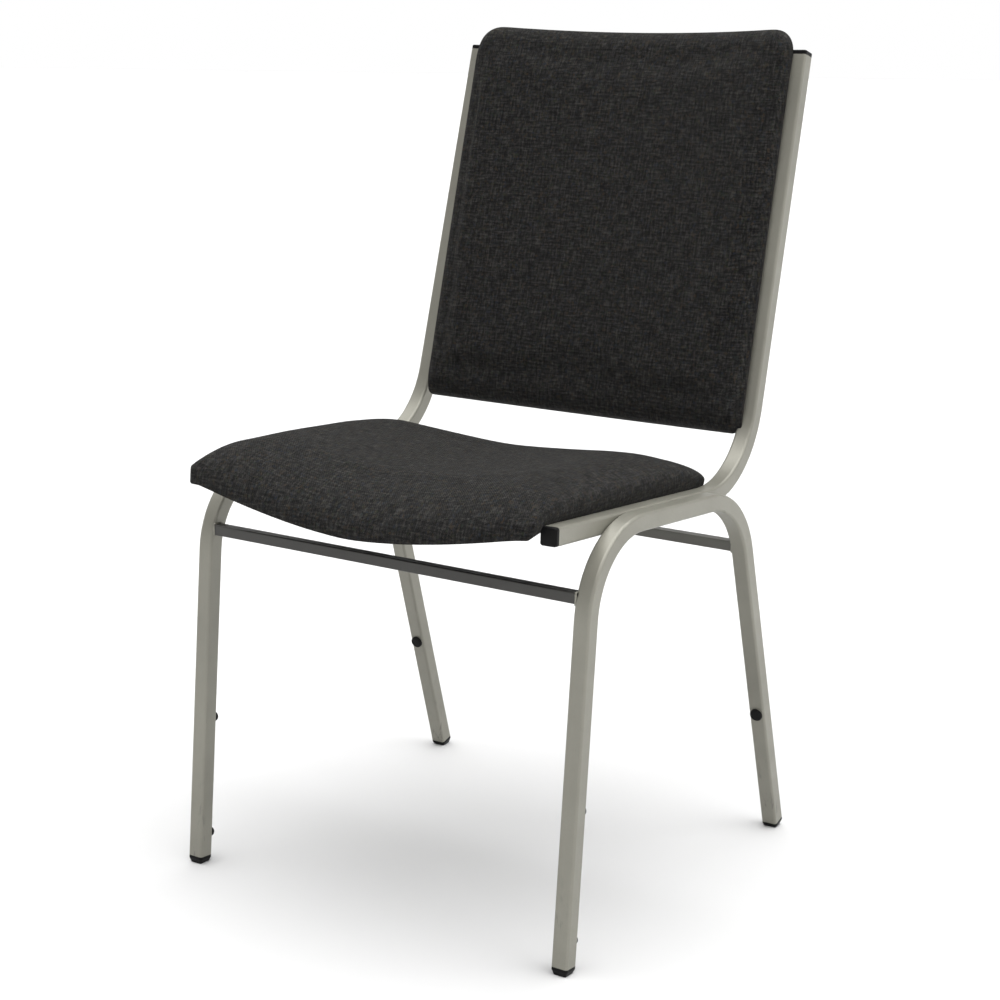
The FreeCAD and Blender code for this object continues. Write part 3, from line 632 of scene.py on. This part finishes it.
def bulgeAt(pad, x, y, share):
    # how far a side swells out at y, where share is 0 at the top of the side wall and 1 at its foot
    frontBulge, rearBulge = pad["bulge"][1 if x > 0 else -1]
    amount = frontBulge + (rearBulge - frontBulge) * alongShare(pad, y)
    outward = (abs(x) / pad["halfWidth"]) ** sidePowers["bulge"]
    amount *= outward * (1 - (1 - pad["footShare"]) * share * share)
    return amount if x > 0 else -amount


def tuckAt(pad, x):
    # the foot of a side wall goes down between the tubes
    return pad["tuck"] * (abs(x) / pad["halfWidth"]) ** sidePowers["tuck"]


def padBlank(name, pad, place):
    # a closed form: at each station a ring of points over the pad and back under it
    points = []
    faces = []
    rings = []
    for x, height in padStations(pad):
        row = padRow(pad, x, height)
        ring = []
        for y, level in row + [(y, 0.0) for y, _ in reversed(row)]:
            ring.append(len(points))
            out = bulgeAt(pad, x, y, 0.0 if level else 1.0)
            down = 0.0 if level else tuckAt(pad, x)
            points.append(Vector((x + out, y, padUnder(pad, x, y) + level - down)))
        rings.append(ring)
    size = len(rings[0])
    for near, far in zip(rings, rings[1:]):
        for step in range(size):
            after = (step + 1) % size
            faces.append((near[step], near[after], far[after], far[step]))
    for ring in (rings[0], rings[-1]):
        # the side wall, in rows from the top down to the underside
        upper = ring[:size // 2]
        lower = ring[:size // 2 - 1:-1]
        walls = [upper]
        for level in range(1, cushion["wallSteps"]):
            share = level / cushion["wallSteps"]
            wall = [upper[0]]
            for top, foot in zip(upper[1:-1], lower[1:-1]):
                wall.append(len(points))
                middle = points[foot].lerp(points[top], 1 - share)
                middle.x = points[foot].x + bulgeAt(pad, points[foot].x, middle.y, share)
                points.append(middle)
            walls.append(wall + [upper[-1]])
        walls.append(lower)
        for over, under in zip(walls, walls[1:]):
            for step in range(len(over) - 1):
                corners = (over[step], over[step + 1], under[step + 1], under[step])
                faces.append(tuple(dict.fromkeys(corners)))
    mesh = bpy.data.meshes.new(name)
    mesh.from_pydata(points, [], [face for face in faces if len(face) > 2])
    mesh.transform(place)
    piece = bpy.data.objects.new(name, mesh)
    scene.collection.objects.link(piece)
    onlyActive(piece)
    bpy.ops.object.mode_set(mode="EDIT")
    bpy.ops.mesh.select_all(action="SELECT")
    bpy.ops.mesh.normals_make_consistent(inside=False)
    bpy.ops.object.mode_set(mode="OBJECT")
    return piece


def inflate(piece, loose):
    # the points that the cloth reaches under pressure, from where they are now
    held = piece.vertex_groups.new(name="held")
    for index in np.flatnonzero(loose < cushion["heldBelow"]):
        held.add([int(index)], 1.0, "REPLACE")
    modifier = piece.modifiers.new("cloth", "CLOTH")
    settings = modifier.settings
    settings.quality = cushion["quality"]
    settings.tension_stiffness = cushion["stiffness"]
    settings.compression_stiffness = cushion["stiffness"]
    settings.bending_stiffness = cushion["bending"]
    settings.use_pressure = True
    settings.uniform_pressure_force = cushion["pressure"]
    settings.vertex_group_mass = "held"
    settings.effector_weights.gravity = 0
    modifier.point_cache.frame_start = 1
    modifier.point_cache.frame_end = cushion["frames"]
    for number in range(1, cushion["frames"] + 1):
        scene.frame_set(number)
    swollen = readPoints(piece.evaluated_get(bpy.context.evaluated_depsgraph_get()).to_mesh())
    piece.modifiers.remove(modifier)
    piece.vertex_groups.remove(held)
    scene.frame_set(1)
    return swollen


def swell(piece, up):
    mesh = piece.data
    drawn = readPoints(mesh)
    normals = readNormals(mesh)
    loose = np.clip((normals @ np.array(up) + cushion["freeFrom"]) / cushion["freeRange"], 0, 1)
    writePoints(mesh, drawn - normals * cushion["startInset"] * loose[:, None])
    offset = inflate(piece, loose) - drawn
    # the cloth may rise off the foam, and hardly sink into it
    lift = np.einsum("ij,ij->i", offset, normals)
    print(piece.name, "rises by at most", round(float(lift.max()) * 1000, 1),
          "mm and sinks by", round(float(-lift.min()) * 1000, 1))
    sideways = offset - normals * lift[:, None]
    slide = np.linalg.norm(sideways, axis=1)
    sideways *= np.minimum(1, cushion["slideCap"] / np.maximum(slide, 1e-9))[:, None]
    lift = np.clip(lift - cushion["settled"], -cushion["sinkCap"], cushion["riseCap"])
    writePoints(mesh, drawn + (normals * lift[:, None] + sideways) * loose[:, None])


def makePad(name, pad, place):
    piece = padBlank(name, pad, place)
    up = place.to_3x3() @ Vector((0, 0, 1))
    swell(piece, up)
    applyModifier(piece, "SUBSURF", levels=1, render_levels=1)
    piece.data.shade_smooth()
    unwrapFlat(piece)
    return piece


seatPiece = makePad("seat_upholstery", seatPad, seatPlace)
settle(seatPiece, "cloth", "charcoal_fabric", "seat_cover", "seat_foam")
backPiece = makePad("back_upholstery", backPad, backPlace)
settle(backPiece, "cloth", "charcoal_fabric", "back_cover", "back_foam")
print("pads are made:", len(seatPiece.data.polygons), len(backPiece.data.polygons), "faces")

# dust cloth and rear panel
dustSheet = {
    "inset": 0.035, "level": -0.0007, "thick": 0.0008, "steps": 60,
    "flatEdge": 0.006,  # width that lies on the board
    "sag": 0.0022, "sagReach": 0.03,
    "pucker": 0.0004, "puckerReach": 0.012, "pitch": 0.04,
}
rearPanel = {
    "inset": 0.035, "level": -0.0023, "thick": 0.003, "steps": 44,
    "edge": 0.0011, "edgeSteps": 3, "edgeAngle": 50,
}


def padSheet(name, pad, place, plan, dropAt):
    # a grid from -1 to 1, bent to a pad's underside, where dropAt gives how far it hangs at each point
    steps = plan["steps"]
    bpy.ops.object.select_all(action="DESELECT")
    bpy.ops.mesh.primitive_grid_add(x_subdivisions=steps, y_subdivisions=steps, size=2)
    piece = bpy.context.object
    piece.name = name
    wide = pad["halfWidth"] - plan["inset"]
    for vertex in piece.data.vertices:
        x = vertex.co.x * wide
        first, last = padEnds(pad, x, plan["inset"])
        y = first + (last - first) * (vertex.co.y + 1) / 2
        edge = min(wide - abs(x), y - first, last - y)
        level = padUnder(pad, x, y) + plan["level"] - dropAt(x, y, edge)
        vertex.co = place @ Vector((x, y, level))
    piece.data.update()
    return piece


def dustDrop(x, y, edge):
    hollow = 1 - math.exp(-max(0.0, edge - dustSheet["flatEdge"]) / dustSheet["sagReach"])
    ripple = math.sin(2 * math.pi * (x + y) / dustSheet["pitch"])
    ripple *= math.exp(-edge / dustSheet["puckerReach"])
    return dustSheet["sag"] * hollow + dustSheet["pucker"] * ripple


dustPiece = padSheet("seat_dust_cloth", seatPad, seatPlace, dustSheet, dustDrop)
applyModifier(dustPiece, "SOLIDIFY", thickness=dustSheet["thick"], offset=0)
dustPiece.data.shade_smooth()
unwrapFlat(dustPiece)
settle(dustPiece, "dust", "dust_cloth", "seat_dust_cover")

panelPiece = padSheet("back_panel_cloth", backPad, backPlace, rearPanel, lambda x, y, edge: 0.0)
applyModifier(panelPiece, "SOLIDIFY", thickness=rearPanel["thick"], offset=0)
applyModifier(panelPiece, "BEVEL", width=rearPanel["edge"], segments=rearPanel["edgeSteps"],
              limit_method="ANGLE", angle_limit=math.radians(rearPanel["edgeAngle"]))
panelPiece.data.shade_smooth()
unwrapFlat(panelPiece)
settle(panelPiece, "cloth", "charcoal_fabric", "back_rear_panel")
print("dust cloth and rear panel are made")

# welds
welds = {
    "bead": 0.0013,
    "barReach": 0.0062,  # from a crossbar's middle to its weld
    "barEnds": [(-0.21845, 0.3855), (0.11565, 0.3692)],  # y and z
    "legFace": 0.2342,
    "seamX": 0.2341,
    "seamZ": 0.4285,
    "stitches": [-0.115, -0.055, 0.005],  # y of each stitch under the rail
    "lugX": 0.2137,
    "lugPlaces": [(-0.1889, 0.4452), (0.0207, 0.4324)],  # y and z
    "stitch": 0.02,  # length of a stitch
    "pitch": 0.0024,
    "dropScale": (1.2, 1.15, 0.85),
    "dropSteps": (12, 8),
    "ringSteps": 8,
    "cuts": 3,
    "uneven": 0.00022,
    "firstSeed": 3,
}


def squareBead(x, y, z, seed):
    # a ring of weld round the end of a square crossbar
    turn = Matrix.Rotation(math.pi / 2, 3, "Y") @ Matrix.Rotation(math.pi / 4, 3, "Z")
    corner = welds["barReach"] * math.sqrt(2)
    bpy.ops.mesh.primitive_torus_add(major_segments=4, minor_segments=welds["ringSteps"],
                                     major_radius=corner, minor_radius=welds["bead"],
                                     location=(x, y, z), rotation=turn.to_euler())
    bpy.ops.object.mode_set(mode="EDIT")
    bpy.ops.mesh.select_all(action="SELECT")
    bpy.ops.mesh.subdivide(number_cuts=welds["cuts"])
    bpy.ops.transform.vertex_random(offset=welds["uneven"], seed=seed)
    bpy.ops.object.mode_set(mode="OBJECT")
    return [bpy.context.object]


def stitchBead(x, y, z, fall):
    # a row of overlapping drops along y
    segments, rings = welds["dropSteps"]
    count = round(welds["stitch"] / welds["pitch"])
    drops = []
    for step in range(count):
        along = (step - (count - 1) / 2) * welds["pitch"]
        bpy.ops.mesh.primitive_uv_sphere_add(segments=segments, ring_count=rings, radius=welds["bead"],
                                             location=(x, y + along, z - math.tan(fall) * along),
                                             scale=welds["dropScale"])
        drops.append(bpy.context.object)
    return drops


weldParts = []
railFall = math.radians(chairLines["slope"])
for side in (-1, 1):
    for number, (y, z) in enumerate(welds["barEnds"]):
        weldParts += squareBead(side * welds["legFace"], y, z, number + 2 * side + welds["firstSeed"])
    for y in welds["stitches"]:
        level = welds["seamZ"] - math.tan(railFall) * (y - welds["stitches"][-1])
        weldParts += stitchBead(side * welds["seamX"], y, level, railFall)
    for y, z in welds["lugPlaces"]:
        weldParts += stitchBead(side * welds["lugX"], y, z, railFall)
bpy.ops.object.select_all(action="DESELECT")
for part in weldParts:
    part.select_set(True)
bpy.context.view_layer.objects.active = weldParts[0]
bpy.ops.object.join()
weldPiece = bpy.context.object
weldPiece.name = "frame_welds"
bpy.ops.object.transform_apply(location=True, rotation=True, scale=True)
weldPiece.data.shade_smooth()
settle(weldPiece, "coat", "frame_paint")
print("welds are made")
